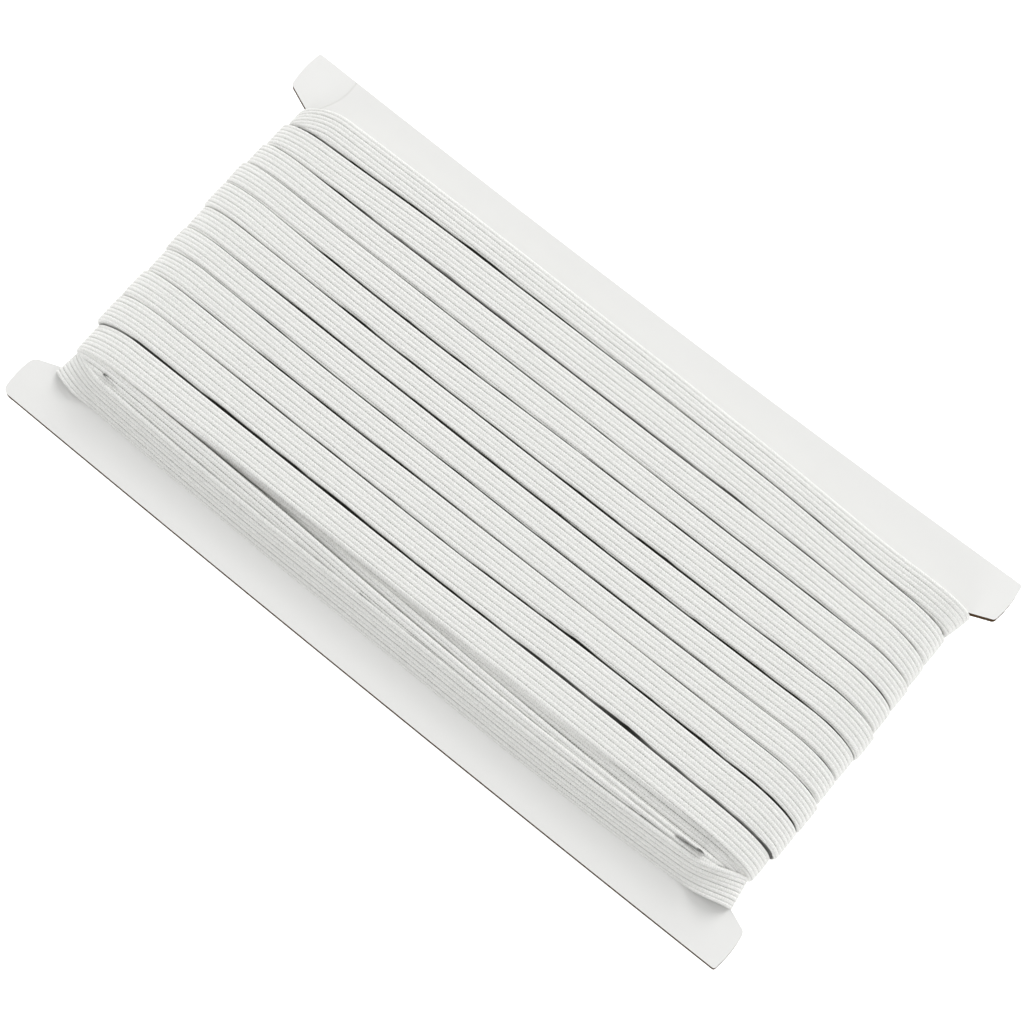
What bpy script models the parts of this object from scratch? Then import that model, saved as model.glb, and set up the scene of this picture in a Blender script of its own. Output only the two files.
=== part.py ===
"""Flat card wound with braided elastic.

A notched board card carries a flat winding: twelve turns of ribbed elastic lie side by side
over the inner layers, and each steps down one place as it crosses the underside.
The card and the winding share one gentle bow, with both ends of the card a little higher
than its middle.  The winding rests on a flat spot under its middle.
"""

import math
from collections import namedtuple

import bpy
import bmesh
from mathutils import Vector

# ---------------------------------------------------------------- driving sizes, millimetres
MM = 0.001

CARD_LENGTH = 140.0
CARD_WIDTH = 75.0
CARD_THICKNESS = 1.3
CARD_BOW = 2.3              # both ends of the card above its middle
CARD_END_BULGE = 0.3        # the short ends of the ears are slightly curved
END_SHARES = (0.3, 0.5, 0.7)    # places along that curve

WAIST_LENGTH = 121.0        # card between the floors of the two notches
WAIST_WIDTH = 53.4          # width of a notch at its floor
MOUTH_WIDTH = 61.0          # width of a notch at the card's end
FLOOR_RADIUS = 1.5

CLEARANCE = 0.3             # card to winding

WINDING_THICKNESS = 11.5    # over both faces
WINDING_LENGTH = 133.0      # over the two folds
FOLD_LENGTH = 9.4           # each rounded end
WINDING_HALF_WIDTH = 31.0   # where it lies over the card
REST_CUT = 0.35             # depth of the flat spot underneath
INNER_SHOWS = 0.3           # how far the inner layers stand out beyond the first turn
EDGE_UNDERCUT = 0.12        # foot of an edge strip, out from its edge
FOOT_LIFT = 0.9             # and its height, as a share of the edge's
UNDER_SPREAD = 0.05         # share by which the turns fan out underneath
LOWER_LAYERS = 0.8          # height of the inner layers, as a share of the full build

RIB_PITCH = 0.71            # the strip is braided in fine lengthwise ribs
RIB_DEPTH = 0.15

CARD_CUTS = 19              # cross cuts that let the board bend
CORNER_STEPS = 5
TOP_ROWS = 8                # sections along each face and round each fold
UNDER_ROWS = 6
FOLD_ROWS = 8
SEAM_X = -50.0              # where the outer strip sets off, on the underside
SEAM_STEP = 0.8             # length over which a turn takes up the next one's place there
TAIL_X = 6.0                # where its end is tucked in, on the underside

BOARD_COLOUR = (0.84, 0.84, 0.82, 1.0)
ELASTIC_COLOUR = (0.88, 0.88, 0.86, 1.0)

# Corners of one card quarter: radius of the outer corner and of the ear's tip.
Corner = namedtuple("Corner", "side_x side_y outer_radius tip_radius")
CORNERS = (
    Corner(1, 1, 0.5, 0.7),
    Corner(-1, 1, 0.5, 0.7),
    Corner(-1, -1, 1.2, 1.8),
    Corner(1, -1, 0.4, 0.9),
)

# One row a turn: where its upper edge crosses the left fold, the face at the left, the
# middle and the right, and the right fold; how high its two edges lie on the face, as a
# share of the full build; and how far it stands out at each fold.
Turn = namedtuple("Turn", "left_fold left middle right right_fold high low out_left out_right")
TURNS = (
    Turn(27.4, 30.2, 30.4, 28.4, 27.6, 0.88, 1.00, -0.9, 1.0),
    Turn(24.3, 24.6, 25.7, 23.5, 23.5, 1.00, 1.00, -0.4, -0.9),
    Turn(19.7, 19.6, 19.8, 18.9, 17.9, 1.00, 1.00, 0.0, -0.2),
    Turn(15.2, 14.8, 15.0, 14.5, 13.7, 1.00, 1.00, 0.4, 0.0),
    Turn(10.7, 10.4, 10.3, 10.1, 9.1, 1.00, 1.00, 0.3, 0.1),
    Turn(5.5, 5.4, 5.4, 5.4, 4.7, 1.00, 1.00, 0.0, 0.4),
    Turn(1.0, 0.8, 0.8, 0.7, -0.1, 1.00, 1.00, 0.2, 0.1),
    Turn(-3.7, -3.7, -3.7, -3.8, -4.4, 1.00, 1.00, -0.1, 0.0),
    Turn(-8.6, -8.6, -8.3, -8.3, -9.1, 1.00, 1.00, 0.0, 0.3),
    Turn(-14.2, -13.8, -13.6, -13.3, -14.0, 1.00, 1.00, 0.0, 0.2),
    Turn(-19.8, -19.3, -18.8, -19.1, -19.1, 0.99, 0.95, -0.9, -0.3),
    Turn(-25.0, -26.7, -27.6, -26.6, -24.2, 0.80, 0.22, -0.4, 0.4),
)
# The last turn's lower edge, and the lower edge of the turn before it, which stands off
# from the last turn so that the inner layers show between them.
Edge = namedtuple("Edge", "left_fold left middle right right_fold")
LAST_EDGE = Edge(-28.1, -30.1, -31.0, -30.1, -28.0)
PARTED_EDGE = Edge(-24.7, -24.9, -23.6, -23.4, -23.8)
# Where the upper inner strip in the opening meets the lower one.
INNER_EDGE = Edge(-24.8, -25.2, -26.1, -25.6, -24.0)

# Crown line over the ribs of a turn: place across it from its raised upper edge, and height.
Crown = namedtuple("Crown", "across lift")
SECTION = (
    Crown(0.0, 0.83),
    Crown(0.06, 0.965),
    Crown(0.35, 1.0),
    Crown(0.72, 0.985),
    Crown(0.95, 0.92),
)
# The same for the two inner strips in the opening, the upper one and the lower one.
INNER_UPPER = (Crown(0.04, 0.80), Crown(0.9, 0.76))
INNER_LOWER = (Crown(0.0, 0.84), Crown(0.6, 0.86), Crown(0.95, 0.78))
OPENING_AT_FOLD = 0.9
PARTED_ROUND = 0.8          # the opening ends this far up a fold, in radians
# Sides of the winding, from the card outwards: height as a share of the edge's, and how
# far each inner layer stands out sideways.
Layer = namedtuple("Layer", "lift out")
SIDE = (Layer(0.0, -0.4), Layer(0.4, 0.0), Layer(0.85, -0.1))
# Stretches along the strip: where the sides draw in from the free half width to the notch,
# at the card and at the full build, and where a low-lying turn starts its climb to the fold.
Stretch = namedtuple("Stretch", "start end")
DRAW_IN_AT_CARD = Stretch(51.0, 60.4)
DRAW_IN_OUTSIDE = Stretch(54.0, 64.0)
CLIMB = Stretch(40.0, 57.0)
CLIMB_SHARE = 0.4

# The inside of a fold follows the slot's square end: for this share of the quarter turn
# along the card's face, and then down the floor of the notch.
FACE_SHARE = 0.25

LAST = len(TURNS)
HALF_BUILD = WINDING_THICKNESS / 2
SLOT_HALF = CARD_THICKNESS / 2 + CLEARANCE
FOLD_START = WINDING_LENGTH / 2 - FOLD_LENGTH


# ---------------------------------------------------------------- small helpers
def clear_scene():
    for thing in list(bpy.data.objects):
        bpy.data.objects.remove(thing, do_unlink=True)


def make_collection(name):
    group = bpy.data.collections.new(name)
    bpy.context.scene.collection.children.link(group)
    return group


def make_material(name, colour, roughness):
    material = bpy.data.materials.new(name)
    material.use_nodes = True
    shader = material.node_tree.nodes["Principled BSDF"]
    shader.inputs["Base Color"].default_value = colour
    shader.inputs["Roughness"].default_value = roughness
    shader.inputs["Metallic"].default_value = 0.0
    return material


def mix(low, high, share):
    return low + (high - low) * share


def ease(share):
    share = min(max(share, 0.0), 1.0)
    return share * share * (3.0 - 2.0 * share)


def progress(stretch, distance):
    return ease((distance - stretch.start) / (stretch.end - stretch.start))


def bowed(x, y, z):
    """A point of the straight part, in millimetres, placed on the bow and on the surface."""
    lift = CARD_BOW * (x / (CARD_LENGTH / 2)) ** 2
    return Vector((x * MM, y * MM, max(z + lift + HALF_BUILD - REST_CUT, 0.0) * MM))


# ---------------------------------------------------------------- the card
def arc_corner(before, corner, after, radius):
    """Points of a rounded corner between two straight edges."""
    toward_before = (before - corner).normalized()
    toward_after = (after - corner).normalized()
    half_angle = toward_before.angle(toward_after) / 2
    reach = radius / math.tan(half_angle)
    centre = corner + (toward_before + toward_after).normalized() * (radius / math.sin(half_angle))
    start = corner + toward_before * reach - centre
    end = corner + toward_after * reach - centre
    sweep = math.pi - 2 * half_angle
    points = []
    for step in range(CORNER_STEPS + 1):
        share = step / CORNER_STEPS
        weight_start = math.sin((1 - share) * sweep) / math.sin(sweep)
        weight_end = math.sin(share * sweep) / math.sin(sweep)
        points.append(centre + start * weight_start + end * weight_end)
    return points


def card_outline():
    """Anticlockwise outline of the card from its upper right corner."""
    corners = []
    for corner in CORNERS:
        outer = Vector((corner.side_x * CARD_LENGTH / 2, corner.side_y * CARD_WIDTH / 2))
        tip = Vector((corner.side_x * CARD_LENGTH / 2, corner.side_y * MOUTH_WIDTH / 2))
        floor = Vector((corner.side_x * WAIST_LENGTH / 2, corner.side_y * WAIST_WIDTH / 2))
        run = [(floor, FLOOR_RADIUS), (tip, corner.tip_radius)]
        for share in END_SHARES:
            bulge = CARD_END_BULGE * 4 * share * (1 - share)
            run.append((tip.lerp(outer, share) + Vector((corner.side_x * bulge, 0.0)), 0.0))
        run.append((outer, corner.outer_radius))
        # Right-hand top and left-hand bottom are met from the notch, the others to it.
        corners += run if corner.side_x * corner.side_y > 0 else run[::-1]
    points = []
    for index, (place, radius) in enumerate(corners):
        before = corners[index - 1][0]
        after = corners[(index + 1) % len(corners)][0]
        if radius > 0:
            points += arc_corner(before, place, after, radius)
        else:
            points.append(place)
    return points


def build_card(group):
    outline = bpy.data.curves.new("card_outline", "CURVE")
    outline.dimensions = "2D"
    outline.fill_mode = "BOTH"
    outline.extrude = CARD_THICKNESS / 2
    spline = outline.splines.new("POLY")
    points = card_outline()
    spline.points.add(len(points) - 1)
    for point, place in zip(spline.points, points):
        point.co = (place.x, place.y, 0.0, 1.0)
    spline.use_cyclic_u = True
    flat = bpy.data.objects.new("card_flat", outline)
    group.objects.link(flat)

    depsgraph = bpy.context.evaluated_depsgraph_get()
    mesh = bpy.data.meshes.new_from_object(flat.evaluated_get(depsgraph))
    bpy.data.objects.remove(flat, do_unlink=True)

    board = bmesh.new()
    board.from_mesh(mesh)
    bmesh.ops.remove_doubles(board, verts=board.verts, dist=0.0001)
    for cut in range(1, CARD_CUTS + 1):
        x = mix(-CARD_LENGTH / 2, CARD_LENGTH / 2, cut / (CARD_CUTS + 1))
        everything = board.verts[:] + board.edges[:] + board.faces[:]
        bmesh.ops.bisect_plane(board, geom=everything, plane_co=(x, 0, 0), plane_no=(1, 0, 0))
    for vertex in board.verts:
        vertex.co = bowed(*vertex.co)
    bmesh.ops.recalc_face_normals(board, faces=board.faces)
    board.to_mesh(mesh)
    board.free()

    mesh.name = "card"
    card = bpy.data.objects.new("card", mesh)
    group.objects.link(card)
    mesh.materials.clear()
    mesh.materials.append(make_material("white_board", BOARD_COLOUR, 0.5))
    return card


# ---------------------------------------------------------------- the winding
# A row is one section through the winding, square to the strip.  It has an outer and an
# inner point in the x-z plane, and knows which face or fold it belongs to.
Row = namedtuple("Row", "place share outer inner fold x")


def face_row(place, x, share):
    side = 1.0 if place == "top" else -1.0
    return Row(place, share, (x, side * HALF_BUILD), (x, side * SLOT_HALF), 0.0, x)


def fold_row(place, turn_angle):
    """A row round one end: turn_angle runs from -90 degrees, underneath, to 90, on top."""
    side = 1.0 if place == "right" else -1.0
    outer_x = FOLD_START + FOLD_LENGTH * math.cos(turn_angle)
    outer_z = HALF_BUILD * math.sin(turn_angle)
    floor = WAIST_LENGTH / 2 + CLEARANCE
    steepness = abs(turn_angle) / (math.pi / 2)
    inner_x = mix(FOLD_START, floor, min(1.0, (1.0 - steepness) / FACE_SHARE))
    height = min(1.0, steepness / (1.0 - FACE_SHARE))
    inner_z = math.copysign(SLOT_HALF * height, turn_angle)
    outer = (side * outer_x, outer_z)
    inner = (side * inner_x, inner_z)
    return Row(place, turn_angle, outer, inner, math.cos(turn_angle), side * outer_x)


def make_rows():
    """All rows in the order in which the strip runs, from its start underneath."""
    rows = [face_row("bottom", SEAM_X, 0.0)]
    for step in range(FOLD_ROWS + 1):
        rows.append(fold_row("left", mix(-math.pi / 2, math.pi / 2, step / FOLD_ROWS)))
    for step in range(1, TOP_ROWS):
        x = mix(-FOLD_START, FOLD_START, step / TOP_ROWS)
        rows.append(face_row("top", x, step / TOP_ROWS))
    for step in range(FOLD_ROWS + 1):
        rows.append(fold_row("right", mix(math.pi / 2, -math.pi / 2, step / FOLD_ROWS)))
    for step in range(1, UNDER_ROWS):
        x = mix(FOLD_START, -FOLD_START, step / UNDER_ROWS)
        rows.append(face_row("bottom", x, step / UNDER_ROWS))
    rows.append(face_row("bottom", SEAM_X + SEAM_STEP, 1.0))
    return rows


def under_y(edge, next_edge, x):
    """Where an edge lies underneath, on its way from the right fold to its next place."""
    share = (FOLD_START - x) / (2 * FOLD_START)
    spread = 1.0 + UNDER_SPREAD * math.sin(math.pi * share)
    return mix(edge.right_fold, next_edge.left_fold, share) * spread


def top_y(edge, x):
    """The smooth line of an edge along the upper face, through its three places."""
    t = x / FOLD_START
    return edge.left * t * (t - 1) / 2 + edge.middle * (1 - t * t) + edge.right * t * (t + 1) / 2


def edge_y(row, edge, next_edge, starting):
    """Crosswise place of an edge in a row."""
    if row.place == "top":
        return top_y(edge, row.x)
    if row.place == "left":
        above = edge.left
        below = edge.left_fold
        at_fold = edge.left_fold
    elif row.place == "right":
        above = edge.right
        below = under_y(edge, edge, FOLD_START)
        at_fold = edge.right_fold
    elif starting:
        return edge.left_fold
    else:
        return under_y(edge, next_edge, row.x)
    if row.share >= 0:
        return mix(at_fold, above, 1 - math.cos(row.share))
    return mix(at_fold, below, 1 - math.cos(row.share))


def upper_edges(row, starting):
    """Crosswise place of each turn's upper edge, and of the last turn's lower edge."""
    edges = list(TURNS) + [LAST_EDGE]
    following = edges[1:] + [LAST_EDGE]
    return [edge_y(row, edge, after, starting) for edge, after in zip(edges, following)]


def side_y(free, stretch, x):
    """The winding's side: free over the card, held between the ears at the folds."""
    reach = max(abs(x) - WAIST_LENGTH / 2, 0.0)
    slope = (MOUTH_WIDTH - WAIST_WIDTH) / (CARD_LENGTH - WAIST_LENGTH)
    held = WAIST_WIDTH / 2 + (reach - CLEARANCE) * slope - CLEARANCE
    return math.copysign(mix(abs(free), min(held, abs(free)), progress(stretch, abs(x))), free)


def level(row, turn, across):
    """Height of the build under a turn, as a share of the full build."""
    if row.place == "bottom" or row.share < 0:
        return 1.0
    on_face = mix(turn.high, turn.low, across)
    climb = CLIMB_SHARE * progress(CLIMB, abs(row.x))
    return mix(on_face, 1.0, max(climb, row.fold))


def point_at(row, y, lift, out=0.0):
    """A point of the row at a height, from the slot at 0 to the full build at 1."""
    x = mix(row.inner[0], row.outer[0], lift)
    z = mix(row.inner[1], row.outer[1], lift)
    x += math.copysign(out * row.fold * lift, x)
    return bowed(x, y, z)


def side_points(row, sign, free, edge_lift):
    """Labelled points up one side, from the card to the shoulder of the inner layers."""
    points = []
    for index, layer in enumerate(SIDE):
        lift = layer.lift * edge_lift
        x = mix(row.inner[0], row.outer[0], lift)
        at_card = side_y(free, DRAW_IN_AT_CARD, x)
        outside = side_y(free, DRAW_IN_OUTSIDE, x)
        y = mix(at_card, outside, ease(layer.lift)) + sign * layer.out * (1 - row.fold)
        points.append((("side", sign, index), point_at(row, y, lift)))
    return points


def crown_lift(crowns, across):
    """Height of a crown line at a place across its strip."""
    for one, two in zip(crowns, crowns[1:]):
        if across <= two.across:
            return mix(one.lift, two.lift, (across - one.across) / (two.across - one.across))
    return crowns[-1].lift


def ribbed(crowns, rib_count):
    """Crown line with its ribs: a low edge, then crown and groove in turn to the far edge."""
    first = crowns[0].across
    last = crowns[-1].across
    groove = RIB_DEPTH / (HALF_BUILD - SLOT_HALF)
    points = [crowns[0]]
    for step in range(1, 2 * rib_count):
        across = mix(first, last, step / (2 * rib_count))
        depth = groove if step % 2 == 0 else 0.0
        points.append(Crown(across, crown_lift(crowns, across) - depth))
    points.append(crowns[-1])
    return points


def rib_count(width):
    return max(round(abs(width) / RIB_PITCH), 1)


def turn_points(row, number, upper, lower):
    turn = TURNS[number]
    out = turn.out_left if row.x < 0 else turn.out_right
    points = []
    for index, crown in enumerate(TURN_SECTIONS[number]):
        y = mix(upper, lower, crown.across)
        lift = crown.lift * level(row, turn, crown.across)
        points.append((("turn", number, index), point_at(row, y, lift, out)))
    return points


def opening_points(row, upper, lower):
    """The inner strips that show where the last two turns stand apart."""
    inner = edge_y(row, INNER_EDGE, INNER_EDGE, False)
    strips = ((upper, inner, INNER_SECTIONS[0]), (inner, lower, INNER_SECTIONS[1]))
    points = []
    for place, (first, last, section) in enumerate(strips):
        for index, crown in enumerate(section):
            y = mix(first, last, crown.across)
            lift = mix(crown.lift, OPENING_AT_FOLD, row.fold)
            points.append((("opening", place, index), point_at(row, y, lift)))
    return points


def ribbed_turns():
    """The ribbed section of each turn, as wide as it shows in the middle of the face."""
    edges = list(TURNS) + [LAST_EDGE]
    sections = []
    for edge, following in zip(edges, edges[1:]):
        lower = PARTED_EDGE.middle if following is TURNS[-1] else following.middle
        sections.append(ribbed(SECTION, rib_count(edge.middle - lower)))
    return sections


TURN_SECTIONS = ribbed_turns()
INNER_SECTIONS = (
    ribbed(INNER_UPPER, rib_count(PARTED_EDGE.middle - INNER_EDGE.middle)),
    ribbed(INNER_LOWER, rib_count(INNER_EDGE.middle - TURNS[-1].middle)),
)


def share_above(row):
    """How far a row is on the way from the underside to the upper face."""
    if row.place == "top":
        return 1.0
    if row.place == "bottom":
        return 0.0
    return (1.0 + math.sin(row.share)) / 2


def row_points(row, starting):
    """One section as labelled points, from the upper side to the lower side."""
    edges = upper_edges(row, starting)
    above = share_above(row)
    first_free = mix(WINDING_HALF_WIDTH, edges[0] + INNER_SHOWS, above)
    last_free = mix(-WINDING_HALF_WIDTH, edges[LAST], above)
    first_lift = mix(LOWER_LAYERS, SECTION[0].lift * level(row, TURNS[0], 0.0), above)
    last_lift = mix(LOWER_LAYERS, SECTION[-1].lift * level(row, TURNS[-1], 1.0), above)
    parts_from = math.sin(PARTED_ROUND)
    parted = row.place == "top" or 2 * above - 1 > parts_from
    tucked = row.place == "bottom" and not starting and row.x < TAIL_X
    count = LAST - 1 if tucked else LAST

    points = side_points(row, 1, first_free, first_lift)
    foot = point_at(row, edges[0] + EDGE_UNDERCUT, FOOT_LIFT * first_lift)
    points.append((("step", 1), foot))
    for number in range(count):
        upper = edges[number]
        lower = edges[number + 1]
        if parted and number == LAST - 2:
            lower = edge_y(row, PARTED_EDGE, PARTED_EDGE, starting)
        points += turn_points(row, number, upper, lower)
        if parted and number == LAST - 2:
            points += opening_points(row, lower, edges[number + 1])
    foot = point_at(row, edges[count] - EDGE_UNDERCUT, FOOT_LIFT * last_lift)
    points.append((("step", -1), foot))
    points += side_points(row, -1, last_free, last_lift)[::-1]
    return points


def next_turn(label):
    """The strip's label one turn on."""
    if label[0] == "turn":
        return ("turn", label[1] + 1, label[2])
    return label


def bridge(mesh, first, second):
    """Faces between two rows.  Points that both rows hold are joined across, and a point
    that only one of them holds is fanned in between its neighbours."""
    second_names = [name for name, vertex in second]
    shared = [name for name, vertex in first if name in second_names]
    first_names = [name for name, vertex in first]
    for name, after in zip(shared, shared[1:]):
        one_run = first[first_names.index(name):first_names.index(after) + 1]
        two_run = second[second_names.index(name):second_names.index(after) + 1]
        one = [vertex for label, vertex in one_run]
        two = [vertex for label, vertex in two_run]
        if len(one) == 2 and len(two) == 2:
            mesh.faces.new((one[0], one[1], two[1], two[0]))
            continue
        i = 0
        j = 0
        while i < len(one) - 1 or j < len(two) - 1:
            step_one = (i + 1) / (len(one) - 1) if i < len(one) - 1 else 2.0
            step_two = (j + 1) / (len(two) - 1) if j < len(two) - 1 else 2.0
            if step_one <= step_two:
                mesh.faces.new((one[i], one[i + 1], two[j]))
                i += 1
            else:
                mesh.faces.new((one[i], two[j + 1], two[j]))
                j += 1


def build_winding(group):
    rows = make_rows()
    mesh = bmesh.new()
    sections = []
    for index, row in enumerate(rows):
        starting = index == 0
        labelled = row_points(row, starting)
        sections.append([(name, mesh.verts.new(place)) for name, place in labelled])
    for one, two in zip(sections, sections[1:]):
        bridge(mesh, one, two)
        mesh.faces.new((one[-1][1], one[0][1], two[0][1], two[-1][1]))
    # The strip comes round to its start one place further down.
    closing = [(next_turn(name), vertex) for name, vertex in sections[-1]]
    start = sections[0]
    bridge(mesh, closing, start)
    mesh.faces.new((closing[-1][1], closing[0][1], start[0][1], start[-1][1]))
    bmesh.ops.recalc_face_normals(mesh, faces=mesh.faces)

    data = bpy.data.meshes.new("winding")
    mesh.to_mesh(data)
    mesh.free()
    data.shade_smooth()
    data.set_sharp_from_angle(angle=math.radians(50))
    data.materials.append(make_material("white_elastic", ELASTIC_COLOUR, 0.85))
    winding = bpy.data.objects.new("winding", data)
    group.objects.link(winding)
    return winding


clear_scene()
parts = make_collection("wound_card")
build_card(parts)
build_winding(parts)
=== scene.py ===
# %% [markdown]
# # A flat card wound with ribbed elastic
#
# The real thing is a long narrow strip of braided elastic, wound round the waist of a notched
# board card. Twelve turns lie side by side on top of the older layers, and each new turn
# overlaps the lower edge of the one before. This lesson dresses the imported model: the card
# keeps its solid and gets a finish, and the plain solid of the winding is replaced by one
# strip that really goes round and round.

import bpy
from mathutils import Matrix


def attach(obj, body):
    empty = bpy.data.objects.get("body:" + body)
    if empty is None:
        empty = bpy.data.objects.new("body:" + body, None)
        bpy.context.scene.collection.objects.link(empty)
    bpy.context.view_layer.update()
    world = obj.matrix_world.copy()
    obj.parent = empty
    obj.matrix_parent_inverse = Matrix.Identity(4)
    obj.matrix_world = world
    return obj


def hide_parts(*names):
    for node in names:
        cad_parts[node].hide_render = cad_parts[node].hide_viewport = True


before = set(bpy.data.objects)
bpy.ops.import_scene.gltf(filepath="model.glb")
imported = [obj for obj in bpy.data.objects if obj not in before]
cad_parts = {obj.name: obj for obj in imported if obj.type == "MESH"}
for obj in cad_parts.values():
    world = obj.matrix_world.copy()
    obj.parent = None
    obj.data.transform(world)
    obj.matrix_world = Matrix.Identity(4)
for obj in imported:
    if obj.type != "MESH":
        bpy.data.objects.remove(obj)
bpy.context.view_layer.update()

# %% Python's own helpers
import math
from collections import namedtuple

import bpy
import bmesh
import numpy as np
from mathutils import Matrix, Vector

MM = 0.001

# %% [markdown]
# ## The camera
#
# The photograph looks down steeply from one corner with a long lens, so the card shows almost
# in plan and hardly narrows towards its far end. A look-at matrix sets such a camera exactly,
# where turning it by hand would leave a small roll.

# %% Set the camera
AZIMUTH, ELEVATION = math.radians(39.607), math.radians(71.898)
AIM = Vector((3.193, -2.59, 8.35)) * MM
DISTANCE = 426.4 * MM
LENS, SENSOR = 98.52, 36.0


def look_at(thing, eye, aim):
    """Turns a camera or a lamp at eye so that it faces aim, with no roll."""
    back = (eye - aim).normalized()
    right = Vector((0, 0, 1)).cross(back).normalized()
    turned = Matrix((right, back.cross(right), back)).transposed().to_4x4()
    turned.translation = eye
    thing.matrix_world = turned
    return thing


scene = bpy.context.scene
camera = bpy.data.objects.new("camera", bpy.data.cameras.new("camera"))
scene.collection.objects.link(camera)
camera.data.lens, camera.data.sensor_width = LENS, SENSOR
camera.data.clip_start, camera.data.clip_end = 0.01, 20
towards_camera = Vector((
    math.sin(AZIMUTH) * math.cos(ELEVATION),
    -math.cos(AZIMUTH) * math.cos(ELEVATION),
    math.sin(ELEVATION),
))
look_at(camera, AIM + towards_camera * DISTANCE, AIM)
scene.camera = camera
print("camera at", [round(v * 1000, 1) for v in camera.matrix_world.translation], "mm")

# %% [markdown]
# ## Arithmetic with sockets
#
# Node trees are mostly arithmetic, and a Math node for each sign is hard to read. The class
# below wraps one socket, so that a tree can be written as a formula, and the Graph adds any
# other node from its type, the values of its sockets and its settings.


# %% Write node trees as formulas
class Value:
    """One socket of a node tree, used in plain arithmetic."""

    def __init__(self, graph, socket):
        self.graph, self.socket = graph, socket

    def math(self, operation, *terms):
        return self.graph.node(
            "ShaderNodeMath", dict(enumerate(terms or [self])), operation=operation)

    def __add__(self, other): return self.math("ADD", self, other)
    def __sub__(self, other): return self.math("SUBTRACT", self, other)
    def __rsub__(self, other): return self.math("SUBTRACT", other, self)
    def __mul__(self, other): return self.math("MULTIPLY", self, other)
    def __truediv__(self, other): return self.math("DIVIDE", self, other)
    def __rtruediv__(self, other): return self.math("DIVIDE", other, self)
    def __pow__(self, other): return self.math("POWER", self, other)
    def __mod__(self, other): return self.math("FLOORED_MODULO", self, other)
    def __gt__(self, other): return self.math("GREATER_THAN", self, other)
    def __lt__(self, other): return self.math("LESS_THAN", self, other)
    __radd__, __rmul__ = __add__, __mul__

    def least(self, other): return self.math("MINIMUM", self, other)
    def most(self, other): return self.math("MAXIMUM", self, other)
    def root(self): return self.math("SQRT")
    def size(self): return self.math("ABSOLUTE")
    def floor(self): return self.math("FLOOR")
    def sine(self): return self.math("SINE")

    def ramp(self, low, high):
        """A soft step from 0 at low to 1 at high."""
        return self.graph.node("ShaderNodeMapRange", {0: self, 1: low, 2: high},
                               interpolation_type="SMOOTHSTEP")


class Graph:
    """A node tree, with one way to add any node."""

    def __init__(self, tree):
        self.tree = tree

    def node(self, kind, values=None, out=0, **settings):
        made = self.tree.nodes.new(kind)
        for name, setting in settings.items():
            setattr(made, name, setting)
        for place, value in (values or {}).items():
            self.set(made.inputs[place], value)
        return Value(self, made.outputs[out])

    def set(self, socket, value):
        if isinstance(value, Value):
            self.tree.links.new(value.socket, socket)
        else:
            socket.default_value = value

    def vector(self, operation, *terms):
        places = {3: terms[1]} if operation == "SCALE" else {1: terms[1]}
        return self.node("ShaderNodeVectorMath", {0: terms[0], **places}, operation=operation)

    def joined(self, x, y, z):
        return self.node("ShaderNodeCombineXYZ", {0: x, 1: y, 2: z})

    def part(self, vector, axis):
        return self.node("ShaderNodeSeparateXYZ", {0: vector}, out="XYZ".index(axis))

    def noise(self, vector, scale, detail=2.0, rough=0.5):
        return self.node(
            "ShaderNodeTexNoise", {0: vector, 2: scale, 3: detail, 4: rough})


# %% [markdown]
# ## Where each turn lies
#
# A turn is described by the height on the card of its upper edge at seven places: the two
# folds, both ends of the flat and three places between. Every turn steps down one place as it
# crosses the underside. A table with named columns keeps those wandering lines easy to
# change, and a curve that never swings past its points joins them.

# %% List the twelve turns
Turn = namedtuple("Turn", "left_fold left_end left middle right right_end right_fold "
                          "out_left out_right")
TURNS = [Turn(*row) for row in (
    # y of the upper edge, mm                              fold longer by, mm
    (27.4, 30.2, 30.6, 30.4, 29.7, 28.4, 28.7, -0.8, 0.4),
    (24.2, 24.7, 25.7, 25.8, 25.4, 23.9, 23.4, -0.3, -0.5),
    (19.6, 19.6, 19.8, 19.9, 19.8, 19.0, 18.0, 0.0, -0.35),
    (15.2, 15.1, 15.2, 15.2, 14.9, 14.5, 13.8, 0.4, -0.1),
    (10.7, 10.5, 10.2, 10.6, 10.7, 10.2, 9.3, 0.4, 0.0),
    (5.6, 5.5, 5.4, 5.5, 5.5, 5.5, 4.8, 0.0, 0.45),
    (0.9, 0.9, 0.9, 0.9, 0.8, 0.9, 0.2, 0.1, 0.1),
    (-3.8, -3.6, -3.8, -3.7, -3.7, -3.6, -4.3, -0.25, 0.1),
    (-8.6, -8.5, -8.4, -8.1, -8.0, -8.2, -9.0, 0.1, 0.5),
    (-14.1, -13.7, -13.5, -13.4, -12.9, -13.2, -14.0, 0.1, 0.4),
    (-19.9, -19.2, -18.9, -18.8, -18.5, -19.0, -19.4, -0.7, -0.3),
    (-24.3, -27.6, -27.9, -27.8, -27.9, -27.25, -23.6, -0.85, -0.95),
)]

CREASES = (           # dark gap above each turn as it looks, hundredths of a millimetre
    (0, 0, 0, 0, 0, 0, 0),
    (4, 20, 18, 6, 6, 8, 12),
    (4, 9, 30, 24, 15, 6, 11),
    (3, 5, 6, 5, 7, 9, 6),
    (3, 6, 17, 6, 10, 10, 14),
    (2, 4, 16, 11, 17, 9, 10),
    (2, 7, 15, 14, 16, 13, 5),
    (1, 4, 8, 10, 11, 4, 9),
    (2, 9, 13, 6, 2, 8, 10),
    (3, 4, 6, 9, 17, 22, 17),
    (12, 18, 38, 22, 20, 36, 22),
    (3, 3, 5, 8, 5, 5, 3),
)

WIDTH = 5.68          # of the strip, mm
THICKNESS = 1.05
RIBS = 8
BUILD = 5.75          # crown of the winding above the card's middle
FLAT_END = 57.1       # where the flats end and the folds begin
FOLD_LENGTH = 9.55    # how far a fold reaches beyond the flat

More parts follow.
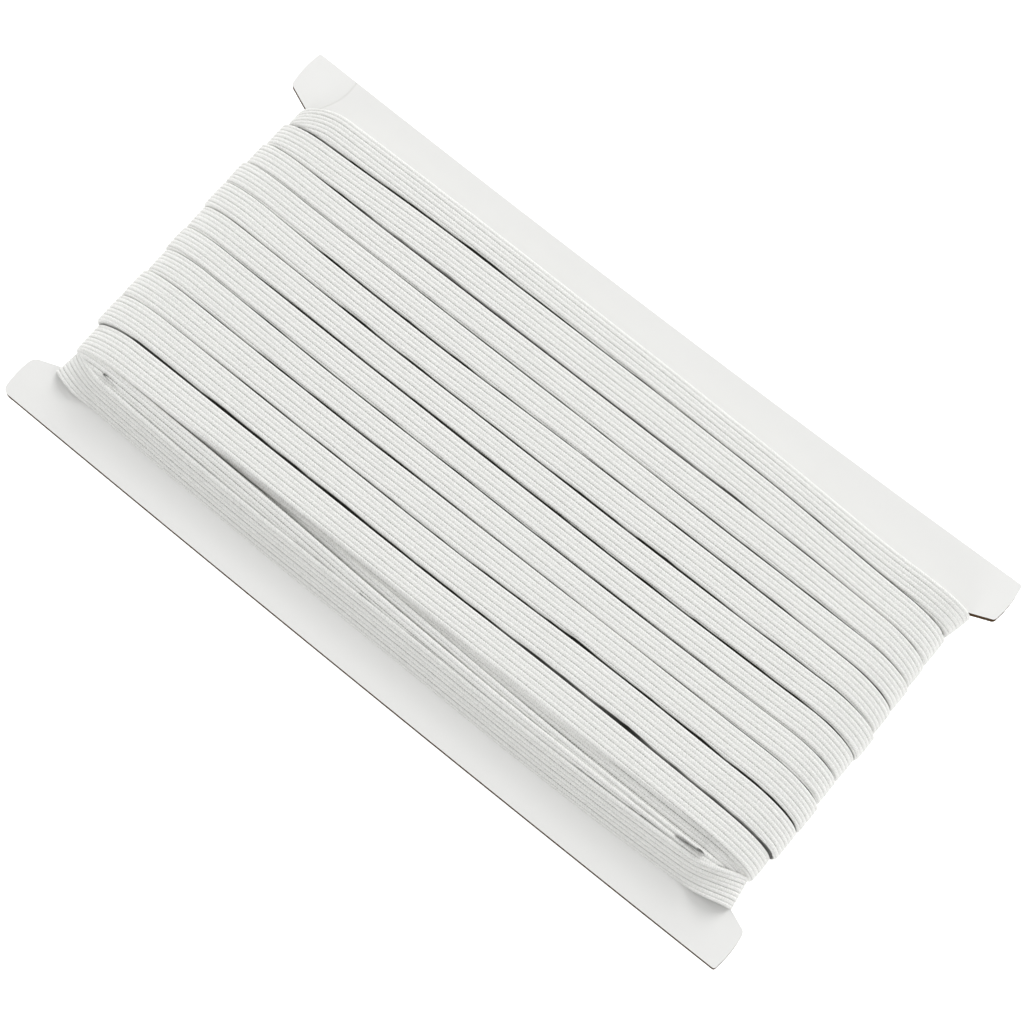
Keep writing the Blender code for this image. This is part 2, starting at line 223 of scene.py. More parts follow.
# %% Join points by a curve that never swings past them
def smooth_through(knots, values, at):
    """Monotone cubic through the values, read at many places."""
    x, y = np.array(knots, float), np.array(values, float)
    step = np.diff(x)
    slope = np.diff(y) / step
    before, after = slope[:-1], slope[1:]
    same = before * after > 0
    w1, w2 = 2 * step[1:] + step[:-1], step[1:] + 2 * step[:-1]
    tangent = np.concatenate([slope[:1], np.zeros(len(y) - 2), slope[-1:]])
    tangent[1:-1][same] = ((w1 + w2)[same]
                           / (w1[same] / before[same] + w2[same] / after[same]))
    cell = np.clip(np.searchsorted(x, at, side="right") - 1, 0, len(step) - 1)
    t = (at - x[cell]) / step[cell]
    return (y[cell] * (1 + 2 * t) * (1 - t) ** 2 + y[cell + 1] * t * t * (3 - 2 * t)
            + step[cell] * (tangent[cell] * t * (1 - t) ** 2
                            + tangent[cell + 1] * t * t * (t - 1)))


# %% [markdown]
# ## One lap round the card
#
# Seen from the side a lap is a long flat oval: along the underside, round the left fold, back
# over the top and round the right fold. A lap is measured here in lap millimetres from the
# right end of the underside, so one number says where the strip is.

# %% Follow one lap
FLAT = 2 * FLAT_END
FOLD = 24.0           # lap millimetres given to a fold
LAP = 2 * FLAT + 2 * FOLD
SIDE_COLUMN = 28      # from the middle to the columns on its left and right
COLUMNS = {           # lap millimetres of the seven columns
    "left_fold": FLAT + FOLD / 2,
    "left_end": FLAT + FOLD,
    "left": FLAT + FOLD + FLAT_END - SIDE_COLUMN,
    "middle": FLAT + FOLD + FLAT_END,
    "right": FLAT + FOLD + FLAT_END + SIDE_COLUMN,
    "right_end": 2 * FLAT + FOLD,
    "right_fold": 2 * FLAT + 1.5 * FOLD,
}


def oval(lap, depth, out_left, out_right):
    """Points and outward directions (x, z) of the oval, depth below its crown line."""
    q = lap % LAP
    top = (q >= FLAT + FOLD) & (q <= LAP - FOLD)
    left, right = (q > FLAT) & (q < FLAT + FOLD), q > LAP - FOLD
    x = np.where(top, q - FLAT - FOLD - FLAT_END, FLAT_END - q)
    z = np.where(top, BUILD - depth, depth - BUILD)
    nx, nz = np.zeros_like(q), np.where(top, 1.0, -1.0)
    turn_left = math.pi * ((q - FLAT) / FOLD - 0.5)
    turn_right = math.pi * (0.5 - (q - (LAP - FOLD)) / FOLD)
    for here, angle, side, out in ((left, turn_left, -1, out_left),
                                   (right, turn_right, 1, out_right)):
        long, high = FOLD_LENGTH + out - depth, BUILD - depth
        x = np.where(here, side * (FLAT_END + long * np.cos(angle)), x)
        z = np.where(here, high * np.sin(angle), z)
        size = np.hypot(high * np.cos(angle), long * np.sin(angle))
        nx = np.where(here, side * high * np.cos(angle) / size, nx)
        nz = np.where(here, long * np.sin(angle) / size, nz)
    return x, z, nx, nz


def lap_steps(first, last, flat_step=2.4, fold_step=0.85):
    """Where the strip gets a cross section: close together round the folds."""
    lap = []
    for n in range(int(first // LAP), int(last // LAP) + 1):
        for start, length, step in ((0, FLAT, flat_step), (FLAT, FOLD, fold_step),
                                    (FLAT + FOLD, FLAT, flat_step),
                                    (LAP - FOLD, FOLD, fold_step)):
            count = round(length / step)
            lap += list(n * LAP + start + length * np.arange(count) / count)
    lap = np.array(lap)
    return np.concatenate([[first], lap[(lap > first + 0.3) & (lap < last - 0.3)], [last]])


# %% [markdown]
# ## The line that the outer strip follows
#
# The outer strip is one line of points, twelve laps long. Each point carries what the strip
# does there: which way is outward, which way lies its lower edge, and how far the next turn's
# edge is, because there the strip dives under it. Where two turns lie apart, a dark gap shows,
# with painted shade in it as well as cast shade, and how much shade to paint is carried too.
# The turns' own crowns hide part of it, so it is modelled wider than it looks. The last turn
# has nothing to lie on and slumps down the side of the winding.

# %% Trace the outer strip
START, START_EDGE = FLAT_END + 15.0, 27.5    # lap mm underneath, and its upper edge there
START_DEPTH = 1.6                            # it starts under its own first turn
RISEN = FLAT_END + 50.0                      # and has risen to the outer layer here
TAIL = 12 * LAP + FLAT_END - 6.0             # the cut end, underneath
TAIL_EDGE = -25.2                            # upper edge of the tail there, mm
UNCOVERED = WIDTH + 1                        # past the strip's edge, so nothing covers it
LAST_VISIBLE = (UNCOVERED,) * 7              # the last turn shows its full width
LAST_DEPTH = (0.35, 0.6, 1.0, 1.0, 1.0, 0.8, -0.3)    # its upper edge below the crown, mm
LAST_TILT = (-5, 52, 49, 48, 48, 49, -9)     # and how steeply it leans, degrees
FIRST_TILT = (0, 0, 0, 0, 0, 4, 13)
PARTED = (5.3, 5.7, 5.0, 4.8, 5.2, 4.45, 4.5)         # width of turn 11 that shows
NO_VALUE = (0,) * 7

Line = namedtuple("Line", "points outward across pitch gap dark above travel turn bend")


def table_curve(rows, lap, first=None, last=None):
    """A value of each turn's seven columns as one curve over all the laps."""
    knots, values = [], []
    if first:
        knots.append(first[0]); values.append(first[1])
    for n, row in enumerate(rows):
        for column, value in zip(COLUMNS.values(), row):
            knots.append(n * LAP + column); values.append(value)
    if last:
        knots.append(last[0]); values.append(last[1])
    return smooth_through(knots, values, lap)


def crease_shade(gap, on_flat):
    """How much painted shade a gap's depth gets: full from 0.11 mm on, and always some."""
    least = 0.15 + 0.5 * on_flat
    return least + (1 - least) * np.clip(gap / 0.11, 0, 1)


def widened(gap, on_flat):
    """The gap to model, in mm: narrow ones grow by more than half, the widest hardly."""
    return np.minimum(1.6 * gap, 0.16 + 0.6 * gap) + 0.06 * on_flat


def make_line(lap, edge, depth, tilt, pitch, gap, dark, above, out_left, out_right, turn):
    """The strip's line from its lap millimetres and what it does there."""
    x, z, nx, nz = oval(lap, depth, out_left, out_right)
    outward = np.stack([nx, 0 * nx, nz], 1)
    down = np.array([0, -1.0, 0])
    lean = np.radians(tilt)[:, None]
    across = down * np.cos(lean) - outward * np.sin(lean)
    outward = outward * np.cos(lean) + down * np.sin(lean)
    points = np.stack([x, edge, z], 1)
    travel = np.concatenate([[0], np.cumsum(np.linalg.norm(np.diff(points, axis=0), axis=1))])
    bend = np.clip(1.2 * (np.abs(x) - FLAT_END + 3) / FOLD_LENGTH, 0, 1)
    return Line(points, outward, across, pitch, gap, dark, above, travel, turn, bend)


def outer_line():
    """The outer strip, from its start underneath to its cut end."""
    lap = lap_steps(START, TAIL)
    lap_ahead = np.minimum(lap + LAP, TAIL)
    turn = np.floor(lap / LAP)

    # where it runs, and how far the next turn's edge is
    edges, ends = [t[:7] for t in TURNS], ((START, START_EDGE), (TAIL, TAIL_EDGE))
    edge, edge_next = table_curve(edges, lap, *ends), table_curve(edges, lap_ahead, *ends)
    pitch = np.where(lap + LAP < TAIL, edge - edge_next, UNCOVERED)

    # the gaps below it and above it, in mm
    closed = ((START, 0), (TAIL, 0))
    gap, gap_above = (table_curve(CREASES, at, *closed) / 100
                      for at in (lap_ahead, np.minimum(lap, TAIL)))
    on_flat = np.clip((FLAT_END - 2 - np.abs(oval(lap, 0, 0, 0)[0])) / 14, 0, 1)
    # how much painted shade the gap below this turn and the gap above it get
    dark, above = crease_shade(gap, on_flat), crease_shade(gap_above, on_flat)
    gap = widened(gap, on_flat)

    # the last two turns part, and the older ones show between them
    parted = (turn >= 10) & ((lap % LAP) > FLAT)
    shows = table_curve([(WIDTH,) * 7] * 10 + [PARTED, LAST_VISIBLE], lap)
    pitch = np.where(parted, shows, pitch)
    gap, dark = np.where(parted, 0, gap), np.where(parted, 0, dark)

    # how deep it lies and how it leans
    depth = table_curve([NO_VALUE] * 11 + [LAST_DEPTH], lap, last=(TAIL, 0))
    rising = np.clip((RISEN - lap) / (RISEN - START), 0, 1)
    depth = np.maximum(depth, START_DEPTH * rising ** 1.5)
    tilt = table_curve([FIRST_TILT] + [NO_VALUE] * 10 + [LAST_TILT], lap, last=(TAIL, 0))
    out_left = np.array([TURNS[min(int(n), 11)].out_left for n in turn])
    out_right = np.array([TURNS[min(int(n), 11)].out_right for n in turn])
    return make_line(lap, edge, depth, tilt, pitch, gap, dark, above, out_left, out_right,
                     turn)


outer = outer_line()
print("outer strip:", len(outer.points), "sections,", round(outer.travel[-1] / 1000, 2), "m")

# %% [markdown]
# ## Older layers
#
# Under the outer strip lie three older layers. They show at both sides of the winding, on the
# underside, and in the long opening between the last two turns, where three of their turns
# lie like shingles. Each is modelled as one closed lap, because only its outer edge shows.

# %% Trace the older turns that show
OLDER_TURN = 20       # the older laps are numbered from here, and so told from the outer strip
# painted shade where the older laps dive under the next one, and at their upper edges
OLDER_DARK, OLDER_ABOVE = 0.6, 0.5

Lap = namedtuple("Lap", "edges depths tilts shows under_edge under_depth")
OLDER = (
    # the shingles in the opening, from the last one back
    Lap((-24.8, -24.8, -25.1, -25.9, -26.4, -26.3, -24.4), (0.8, 0.25, 0.45, 0.6, 0.65, 0.8, 1.1),
        (5, 14, 18, 20, 22, 20, 5), (0.6, 2.7, 2.75, 1.88, 1.5, 0.85, 0.6), -25.0, 1.2),
    Lap((-24.2, -22.5, -23.3, -24.4, -25.2, -25.5, -24.0), (2.4, 1.6, 1.4, 0.75, 0.65, 0.7, 2.4),
        (5, 20, 22, 22, 22, 16, 5), (5.7, 2.3, 1.9, 1.5, 1.3, 1.0, 5.7), -24.8, 2.4),
    Lap((-24.0, -21.5, -21.5, -21.8, -22.2, -22.4, -22.4), (3.6, 2.4, 2.0, 0.8, 0.6, 0.6, 1.2),
        (5, 10, 12, 12, 12, 12, 5), (5.7, 2.2, 2.2, 2.7, 3.2, 3.4, 5.7), -24.6, 3.6),
    # the side by the first turn
    Lap((27.2, 29.9, 30.9, 30.8, 29.5, 28.2, 27.4), (1.2,) * 7, (0,) * 7, (5.7,) * 7, 31.0, 1.2),
    Lap((26.9, 29.6, 30.4, 30.5, 29.6, 28.0, 27.1), (2.4,) * 7, (0,) * 7, (5.7,) * 7, 30.7, 2.4),
    Lap((26.6, 29.8, 30.6, 30.3, 29.2, 28.1, 26.8), (3.6,) * 7, (0,) * 7, (5.7,) * 7, 30.8, 3.6),
)


def older_line(n, older):
    """One closed lap, which starts and ends in the middle of the underside."""
    start = FLAT_END
    lap = lap_steps(start, start + LAP, flat_step=3.2, fold_step=1.2)

    def curve(row, under):
        return table_curve([row], lap, (start, under), (start + LAP, under))

    zero = np.zeros_like(lap)
    return make_line(
        lap, curve(older.edges, older.under_edge), curve(older.depths, older.under_depth),
        curve(older.tilts, 0), curve(older.shows, WIDTH), zero, zero + OLDER_DARK,
        zero + OLDER_ABOVE, zero, zero, zero + OLDER_TURN + n)


inner = [older_line(n, older) for n, older in enumerate(OLDER)]
print("older laps:", len(inner))

# %% Turn lines into a mesh of points that carry their values
def line_mesh(name, lines, closed):
    """A mesh of edges only, whose points carry the named attributes."""
    points, edges, first = [], [], 0
    for line in lines:
        count = len(line.points) - closed
        points.append(line.points[:count])
        edges += [(first + i, first + i + 1) for i in range(count - 1)]
        if closed:
            edges.append((first + count - 1, first))
        first += count
    mesh = bpy.data.meshes.new(name)
    mesh.from_pydata((np.concatenate(points) * MM).tolist(), edges, [])
    for field, scale in (("outward", 1), ("across", 1), ("pitch", MM), ("gap", MM), ("dark", 1),
                         ("above", 1), ("travel", MM), ("turn", 1), ("bend", 1)):
        values = np.concatenate([getattr(line, field)[:len(line.points) - closed]
                                 for line in lines]) * scale
        kind, key = ("FLOAT_VECTOR", "vector") if values.ndim == 2 else ("FLOAT", "value")
        mesh.attributes.new(field, kind, "POINT").data.foreach_set(
            key, values.astype(np.float32).ravel())
    piece = bpy.data.objects.new(name, mesh)
    scene.collection.objects.link(piece)
    return piece


# %% [markdown]
# ## The strip itself
#
# Every part of the strip has the same cross section: eight round ribs with grooves between
# them and round edges. Geometry Nodes sweep a ring along the line and then put each point of
# the ring where the section says. The strip dives under the next turn, domes a little and
# wanders slightly, as wound braid does. A node tree suits this because the rule is the same
# for every turn and each size stays a named input.

# %% Build the node tree of the wound strip
SIZES = {             # named inputs of the tree, lengths in metres
    "Width": WIDTH * MM,
    "Thickness": THICKNESS * MM,
    "Ribs": RIBS,
    "Points per rib": 5,
    "Points underneath": 8,
    "Groove depth": 0.15 * MM,
    "Shoulder": 0.30 * MM,          # before it dives, it slopes over this width
    "Shoulder drop": 0.10 * MM,
    "Plunge": 1.15 * MM,            # how deep it dives under the next turn
    "Hidden share": 1.0,            # and how much of its width runs on sideways there
    "Edge round": 0.32 * MM,        # width over which both edges round off
    "Crown": 0.08 * MM,             # the middle of a turn above its sides
    "Wander": 0.10 * MM,
    "Bow": 2.3 * MM,
    "Half length": 70 * MM,
    "Middle height": 5.4 * MM,
    "Seed": 3.0,
}
MORE_SHADE_FROM = 10.5     # turns numbered above this get more painted shade in their grooves: the last one and the older ones
TABLE_GAP = 0.02 * MM           # lowest points above the table
OLDER_GAP = 0.03 * MM           # and each older turn this much higher than the one before


def strip_tree():
    tree = bpy.data.node_groups.new("wound_strip", "GeometryNodeTree")
    tree.interface.new_socket("Geometry", in_out="INPUT", socket_type="NodeSocketGeometry")
    tree.interface.new_socket("Geometry", in_out="OUTPUT", socket_type="NodeSocketGeometry")
    for name, size in SIZES.items():
        kind = "NodeSocketInt" if isinstance(size, int) else "NodeSocketFloat"
        tree.interface.new_socket(name, in_out="INPUT", socket_type=kind)
    tree.interface.new_socket("Material", in_out="INPUT", socket_type="NodeSocketMaterial")
    g = Graph(tree)
    entry = tree.nodes.new("NodeGroupInput")
    given = {s.name: Value(g, s) for s in entry.outputs if s.name}
    width, thick, ribs = given["Width"], given["Thickness"], given["Ribs"]

    def named(name, kind="FLOAT"):
        return g.node("GeometryNodeInputNamedAttribute", {0: name}, data_type=kind)

    def store(geometry, name, value, kind="FLOAT", domain="POINT"):
        return g.node("GeometryNodeStoreNamedAttribute", {0: geometry, 2: name, 3: value},
                      data_type=kind, domain=domain)

    # sweep a ring along the line; its points are numbered round the section
    line = g.node("GeometryNodeMeshToCurve", {0: given["Geometry"]})
    line = store(line, "base", g.node("GeometryNodeInputPosition"), "FLOAT_VECTOR")
    above = ribs * given["Points per rib"]
    below = given["Points underneath"]
    ring = g.node("GeometryNodeCurvePrimitiveCircle", {0: above + below, 4: 0.0005})
    ring = store(ring, "slot", g.node("GeometryNodeInputIndex"))
    tube = g.node("GeometryNodeCurveToMesh", {0: line, 1: ring, 3: True})

    # where the point lies across the strip, and whether on its upper side
    slot = named("slot")
    share = (slot / above).least((above + below - slot) / below)
    under = slot > above

    # narrow grooves, with the points crowded towards them and every second one shallower
    groove_at = share * ribs
    across = (groove_at - (groove_at * (2 * math.pi)).sine() * 0.08) / ribs * width
    from_top = ((across / width * ribs) % 1.0 * 2 - 1).size()
    groove = from_top ** 6.0 + from_top * from_top * 0.3
    strong = 1 - ((groove_at + 0.5).floor() % 2.0) * 0.4
    into = (1 - across.least(width - across) / given["Edge round"]).most(0.0)
    rounding = (1 - (1 - into * into).most(0.0).root()) * thick * 0.5
    travel, turn, pitch = named("travel"), named("turn"), named("pitch")
    place = g.joined(travel, turn * 0.37, given["Seed"])
    sway = (g.noise(place, 45.0, 2.0) - 0.5) * 2
    swell = (g.noise(g.joined(travel, across * 2.0, turn + given["Seed"]), 160.0, 2.0) - 0.5) * 2

    # dive under the next turn where one lies over this one; chance varies the gap's width
    chance = (g.noise(g.joined(travel, turn * 1.9, given["Seed"] + 5.0), 130.0, 2.0) * 2.4
              - 0.2).most(0.05)
    meets = pitch - named("gap") * chance + sway * given["Wander"] * 0.4
    covered = ((width - meets) / 0.0006).ramp(0.0, 1.0)
    shoulder = across.ramp(meets - given["Shoulder"], meets) * (sway * 0.8 + 1)
    plunge = across.ramp(meets - 0.00005, meets + 0.00018)
    doming = (across / meets.most(0.001) - 0.42) / 0.6
    height = (0 - rounding - groove * strong * given["Groove depth"] * (named("bend") * 0.3 + 1)
              - doming * doming * given["Crown"] + swell * 0.00004)
    height = height * (1 - under) + (rounding - thick) * under
    height = height - covered * (shoulder * given["Shoulder drop"] + plunge * given["Plunge"])
    sideways = (across.least(meets) + (across - meets).most(0.0) * given["Hidden share"]
                + sway * given["Wander"])

    # out from the line, then bend the whole with the card and press it flat on the table
    where = g.vector("ADD", named("base", "FLOAT_VECTOR"),
                     g.vector("SCALE", named("across", "FLOAT_VECTOR"), sideways))
    where = g.vector("ADD", where,
                     g.vector("SCALE", named("outward", "FLOAT_VECTOR"), height))
    x, y, z = (g.part(where, axis) for axis in "XYZ")
    along = x / given["Half length"]
    table = (turn - (OLDER_TURN - 1)).most(0.0) * OLDER_GAP + TABLE_GAP
    z = (z + given["Middle height"] + along * along * given["Bow"]).most(table)
    shaped = g.node("GeometryNodeSetPosition", {0: tube, 2: g.joined(x, y, z)})

    # leave what the material reads: where the next turn starts, and how much painted shade each
    # place gets
    shaped = store(shaped, "meets", meets)
    # painted shade in the gap where the next turn covers this one, varied by chance
    gap_dark = (named("dark") * (chance * 0.6 + 0.4)).least(1.0) * covered
    shaped = store(shaped, "gap_dark", gap_dark)
    # painted shade in the grooves, more on the last turn and the older ones, and painted shade on
    # the underside
    painted_groove_shade = groove.least(1.0) * strong * ((turn > MORE_SHADE_FROM) * 0.10 + 0.06)
    shaped = store(shaped, "groove_and_underside_shade", (painted_groove_shade * (1 - under)).most(under * 0.3))
    shaped = store(shaped, "UVMap", g.joined(travel, across, 0.0), "FLOAT2", "CORNER")
    shaped = g.node("GeometryNodeSetShadeSmooth", {0: shaped})
    shaped = g.node("GeometryNodeRealizeInstances", {0: shaped})
    shaped = g.node("GeometryNodeSetMaterial", {0: shaped, 2: given["Material"]})
    leave = tree.nodes.new("NodeGroupOutput")
    g.set(leave.inputs[0], shaped)
    return tree


# %% Make plain meshes from the tree
def wind(name, lines, closed, material, **changes):
    """Runs the tree on the lines and leaves one plain mesh with its faces outward."""
    carrier = line_mesh(name + "_line", lines, closed)
    modifier = carrier.modifiers.new("strip", "NODES")
    modifier.node_group = tree = bpy.data.node_groups.get("wound_strip") or strip_tree()
    wanted = {**SIZES, **changes, "Material": material}
    for item in tree.interface.items_tree:
        if item.in_out == "INPUT" and item.name in wanted:
            modifier[item.identifier] = wanted[item.name]
    shaped = carrier.evaluated_get(bpy.context.evaluated_depsgraph_get())
    mesh = bpy.data.meshes.new_from_object(shaped)
    bpy.data.objects.remove(carrier)
    mesh.name = name
    work = bmesh.new()
    work.from_mesh(mesh)
    bmesh.ops.recalc_face_normals(work, faces=work.faces)
    work.to_mesh(mesh)
    work.free()
    for spent in ("base", "slot", "outward", "across", "pitch", "gap", "dark"):
        if spent in mesh.attributes:
            mesh.attributes.remove(mesh.attributes[spent])
    piece = bpy.data.objects.new(name, mesh)
    scene.collection.objects.link(piece)
    triangles = sum(len(p.vertices) - 2 for p in mesh.polygons)
    print(name, len(mesh.vertices), "points,", triangles, "triangles, loose layers",
          [a.name for a in mesh.attributes if not a.name.startswith(".")])
    return piece


# %% [markdown]
# ## The look of the braid
#
# Braided elastic is made of fine yarns that cross each rib at a slant, and the slant turns
# over from one rib to the next, which reads as a very fine herringbone. Every second groove is
# tighter and shows a row of small dark stitches. Each groove also gets a thin line of painted
# shade, and on the last turn and the older ones the stitches are drawn darker, as painted shade;
# both are lighter on the folds, as painted light. The pattern follows the strip's own
# coordinates, length along it and width across it, so it runs round the folds with the strip.
# Painted shade for the gaps, the grooves and the underside comes from the values that the node
# tree left on the mesh.

# %% Material of the elastic
YARN_PITCH = 0.34     # slanting yarns along the strip, mm
STITCH_PITCH = 0.42   # dark stitches in the tight grooves, mm
RIB_PITCH = WIDTH / RIBS
GROOVE_HALF = 0.11    # half width of a groove's line of painted shade, in ribs
UPPER_EDGE = 0.11     # width of a turn's upper edge that gets painted shade beside a gap, mm
GAP_FROM, GAP_TO = -0.02, 0.05          # where a gap's painted shade sets in, mm from the next turn
# the braid's white, and the colour of its darker tone and of the painted shade of its grooves
WHITE_YARN, DARK_TONE_AND_SHADE = (0.94, 0.94, 0.915, 1), (0.22, 0.22, 0.19, 1)
# colour of the painted shade in the gaps, at upper edges beside them, in the grooves and
# underneath
PAINTED_SHADE_COLOUR = (0.02, 0.02, 0.013, 1)


def elastic_material():
    material = bpy.data.materials.new("white_elastic_braid")
    material.use_nodes = True
    g = Graph(material.node_tree)
    shader = g.tree.nodes["Principled BSDF"]
    uv = g.node("ShaderNodeUVMap", uv_map="UVMap")
    along, across = g.part(uv, "X") * 1000, g.part(uv, "Y") * 1000
    rib = across / RIB_PITCH
    in_rib, number = rib % 1.0, rib.floor()
    slant = (number % 2.0) * 2 - 1
    body = 1 - (in_rib * 2 - 1).size() ** 2.5
    fibres = g.noise(g.joined(along * 2.2, across * 6.0, 1.0), 1.0, 3.0, 0.6)
    mottle = g.noise(g.joined(along * 0.11, across * 0.25, 4.0), 1.0, 2.0)
    yarn = ((along / YARN_PITCH + slant * in_rib * 0.9 + fibres * 0.5)
            * (2 * math.pi)).sine() * 0.5 + 0.5

    # the grooves' line of painted shade, every second one tighter, and the stitches in them
    near = (rib + 0.5).floor()
    tight = 1 - near % 2.0
    in_groove = (1 - ((rib - near).size() / GROOVE_HALF).least(1.0)) * (tight * 0.5 + 0.5)
    stitch = ((along / STITCH_PITCH + near * 0.37) * (2 * math.pi)).sine() * 0.5 + 0.5
    chance = g.noise(g.joined(along / 0.36, near * 1.7, 9.0), 1.0, 1.0)
    dots = in_groove * (chance * 0.8 + stitch * 0.35).ramp(0.45, 0.70)

    def carried(name):
        return g.node("ShaderNodeAttribute", out=2, attribute_name=name)

    # the painted shade: in the gaps, on a turn's upper edge beside one, and in the grooves and
    # underneath as the node tree left it
    meets = carried("meets") * 1000
    shade_paint_amount = (across - meets).ramp(GAP_FROM, GAP_TO) * carried("gap_dark")
    upper_edge = 1 - (across / UPPER_EDGE).least(1.0)
    shade_paint_amount = shade_paint_amount.most(upper_edge * carried("above") * 0.9)
    shade_paint_amount = shade_paint_amount.most(carried("groove_and_underside_shade"))

    # grooves' painted shade and stitches (painted darker on the last and older turns), both
    # lighter on the folds as painted light; then yarn and grain tone
    more_shade, bend = carried("turn") > MORE_SHADE_FROM, carried("bend")
    fine = g.noise(g.joined(along * 3.2, across * 4.2, 3.0), 1.0, 2.0, 0.7)
    tone_and_groove_shade = (in_groove * 0.32 + dots * (more_shade * 0.35 + 0.5)) * (1 - bend * 0.4)
    tone_and_groove_shade = tone_and_groove_shade + (1 - yarn) * body * 0.17
    for grain, middle, strength in ((fibres, 0.47, 0.30), (fine, 0.52, 0.80), (mottle, 0.5, 0.06)):
        tone_and_groove_shade = tone_and_groove_shade + (grain - middle) * strength
    tone_and_groove_shade = tone_and_groove_shade.most(0.0).least(1.0)
    colour = g.node("ShaderNodeMix", {0: tone_and_groove_shade, 6: WHITE_YARN, 7: DARK_TONE_AND_SHADE}, out=2,
                    data_type="RGBA")
    colour = g.node("ShaderNodeMix", {0: shade_paint_amount, 6: colour, 7: PAINTED_SHADE_COLOUR}, out=2,
                    data_type="RGBA")
    g.set(shader.inputs["Base Color"], colour)
    g.set(shader.inputs["Roughness"], 0.72 + fibres * 0.2)
    shader.inputs["Specular IOR Level"].default_value = 0.25
    shader.inputs["Sheen Weight"].default_value = 0.25
    shader.inputs["Sheen Roughness"].default_value = 0.5
    relief = yarn * body * 0.5 - dots * 0.5 + fibres * 0.35
    bump = g.node("ShaderNodeBump", {"Height": relief, "Strength": 0.8, "Distance": 0.0001})
    g.set(shader.inputs["Normal"], bump)
    return material


elastic = elastic_material()

# %% Wind the outer strip and the older turns
OLDER_SIZES = {       # the older turns dive deeper and steeper, so they stay under the last one
    "Points per rib": 4,
    "Plunge": 3.0 * MM,
    "Hidden share": 0.3,
}
outer_piece = wind("elastic_outer_turns", [outer], False, elastic)
inner_piece = wind("elastic_older_turns", inner, True, elastic, **OLDER_SIZES)
for piece in (outer_piece, inner_piece):
    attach(piece, "root")
    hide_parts("winding")

# %% [markdown]
# ## The card
#
# The card is lined board: white, very smooth faces over a brown fibrous core that shows where
# the sheet was cut. The solid's own sides tell the two apart, since a cut side faces sideways
# and the faces look up or down, so the finish is chosen by the direction of the surface.

# %% Material of the board
FoldMark = namedtuple("FoldMark", "x y radius")
FOLD_MARK = FoldMark(-72.8, 35.8, 10.67)     # faint pressed arc across one ear, mm
MARK_HALF = 0.22                             # half its width, mm
WHITE_LINER, GREYER_LINER = (0.86, 0.86, 0.845, 1), (0.83, 0.83, 0.805, 1)
# painted shade along the pressed arc
PAINTED_ARC_SHADE = (0.62, 0.61, 0.57, 1)
DARK_CORE, LIGHT_CORE = (0.012, 0.006, 0.002, 1), (0.11, 0.057, 0.022, 1)


def board_material():
    material = bpy.data.materials.new("white_lined_board")
    material.use_nodes = True
    g = Graph(material.node_tree)
    shader = g.tree.nodes["Principled BSDF"]
    place = g.node("ShaderNodeTexCoord", out=3)
    facing = g.node("ShaderNodeTexCoord", out=1)
    flat = g.part(facing, "Z").size()
    cut = 1 - flat.ramp(0.6, 0.95)
    wave = g.noise(place, 60.0, 3.0)
    grain = g.noise(place, 2600.0, 3.0, 0.6)
    fibre = g.noise(g.vector("MULTIPLY", place, (400.0, 400.0, 3500.0)), 1.0, 3.0, 0.65)
    x, y = g.part(place, "X") - FOLD_MARK.x * MM, g.part(place, "Y") - FOLD_MARK.y * MM
    off = ((x * x + y * y).root() - FOLD_MARK.radius * MM).size()
    mark = (1 - (off / (MARK_HALF * MM)).least(1.0)) * g.part(facing, "Z").most(0.0)

    def mixed(factor, first, second):
        return g.node("ShaderNodeMix", {0: factor, 6: first, 7: second}, out=2,
                      data_type="RGBA")

    white = mixed((wave - 0.4) * 0.6, WHITE_LINER, GREYER_LINER)
    # painted shade along the pressed arc, on the top face only
    white = mixed(mark * 0.30, white, PAINTED_ARC_SHADE)
    colour = mixed(cut, white, mixed(fibre, DARK_CORE, LIGHT_CORE))
    g.set(shader.inputs["Base Color"], colour)
    g.set(shader.inputs["Roughness"], 0.42 + cut * 0.45 + (grain - 0.5) * 0.1)
    shader.inputs["Specular IOR Level"].default_value = 0.05
    relief = grain * 0.3 + wave * 0.6 + fibre * cut * 2.0 - mark * 3.0
    bump = g.node("ShaderNodeBump", {"Height": relief, "Strength": 0.25, "Distance": 0.00006})
    g.set(shader.inputs["Normal"], bump)
    return material


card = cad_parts["card"]
board = board_material()
card.data.materials.clear()
card.data.materials.append(board)

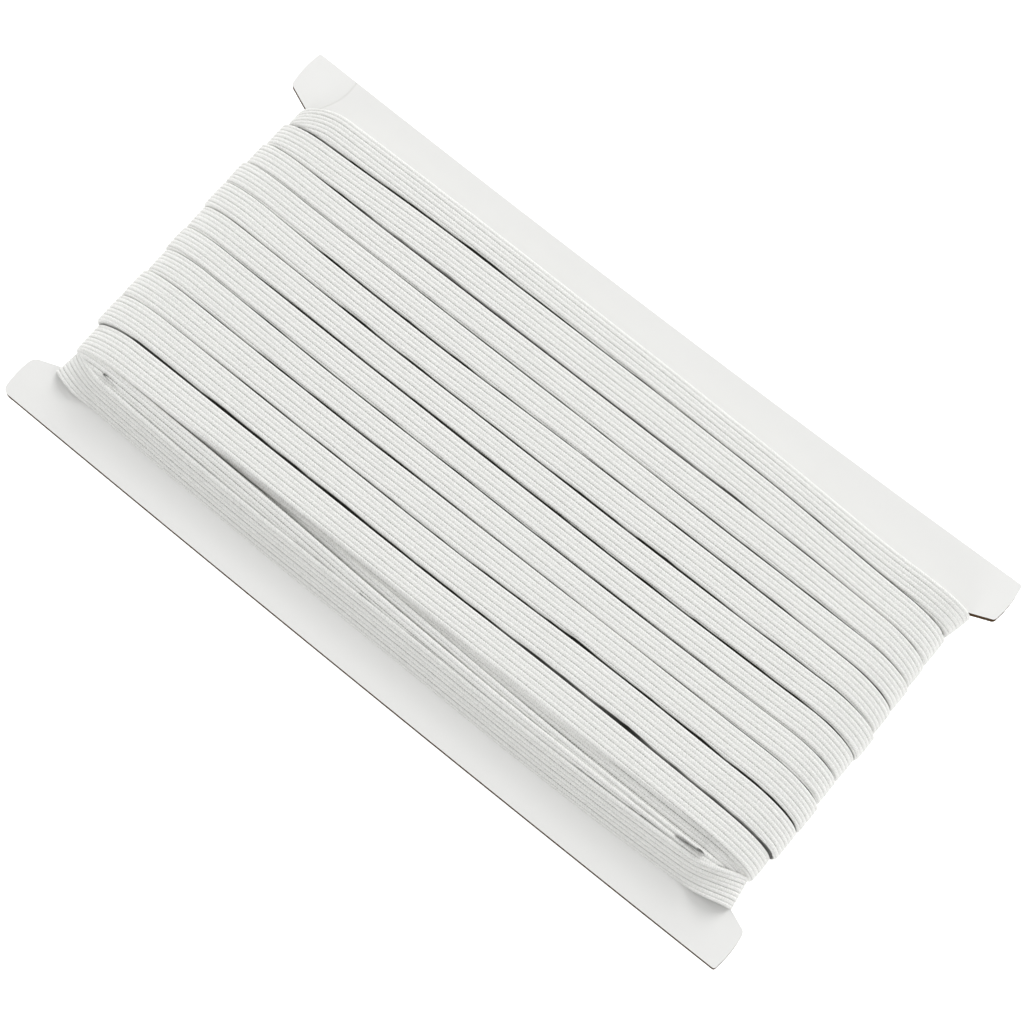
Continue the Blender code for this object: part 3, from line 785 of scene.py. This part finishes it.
# %% [markdown]
# ## Floor and light
#
# The photograph is a product picture on plain white. Eight soft lamps stand round the card in a
# high and a low ring, the ones behind it strongest, so the grooves read by soft shade and
# nothing is bright enough to glare. The floor glows a little, which keeps it pure white right
# up to the card, as in the picture.

# %% Set up the floor and the lamps
def floor_material():
    material = bpy.data.materials.new("white_floor")
    material.use_nodes = True
    shader = material.node_tree.nodes["Principled BSDF"]
    shader.inputs["Base Color"].default_value = (0.95, 0.95, 0.95, 1)
    shader.inputs["Roughness"].default_value = 0.9
    shader.inputs["Emission Color"].default_value = (1, 1, 1, 1)
    shader.inputs["Emission Strength"].default_value = 0.45
    return material


HALF_FLOOR = 3.0      # metres
corners = [(x * HALF_FLOOR, y * HALF_FLOOR, 0) for x, y in ((-1, -1), (1, -1), (1, 1), (-1, 1))]
floor = bpy.data.objects.new("floor", bpy.data.meshes.new("floor"))
floor.data.from_pydata(corners, [], [(0, 1, 2, 3)])
floor.data.materials.append(floor_material())
scene.collection.objects.link(floor)

world = bpy.data.worlds.new("studio")
world.use_nodes = True
world.node_tree.nodes["Background"].inputs[0].default_value = (1, 1, 1, 1)
world.node_tree.nodes["Background"].inputs[1].default_value = 0.3
scene.world = world
scene.view_settings.view_transform = "Standard"

LAMP_SIZE = 0.6       # metres
Lamp = namedtuple("Lamp", "name place power")
for lamp in (
    Lamp("back_high", (0.0, 0.9, 0.8), 5.4),
    Lamp("back_low", (0.0, 1.1, 0.4), 4.8),
    Lamp("front_high", (0.0, -0.9, 0.8), 0.6),
    Lamp("front_low", (0.0, -1.1, 0.4), 2.6),
    Lamp("left_high", (-0.9, 0.0, 0.8), 1.8),
    Lamp("left_low", (-1.1, 0.0, 0.4), 3.0),
    Lamp("right_high", (0.9, 0.0, 0.8), 1.2),
    Lamp("right_low", (1.1, 0.0, 0.4), 2.9),
):
    data = bpy.data.lights.new(lamp.name, "AREA")
    data.size, data.energy = LAMP_SIZE, lamp.power
    light = bpy.data.objects.new(lamp.name, data)
    scene.collection.objects.link(light)
    look_at(light, Vector(lamp.place), Vector((0, 0, 0)))
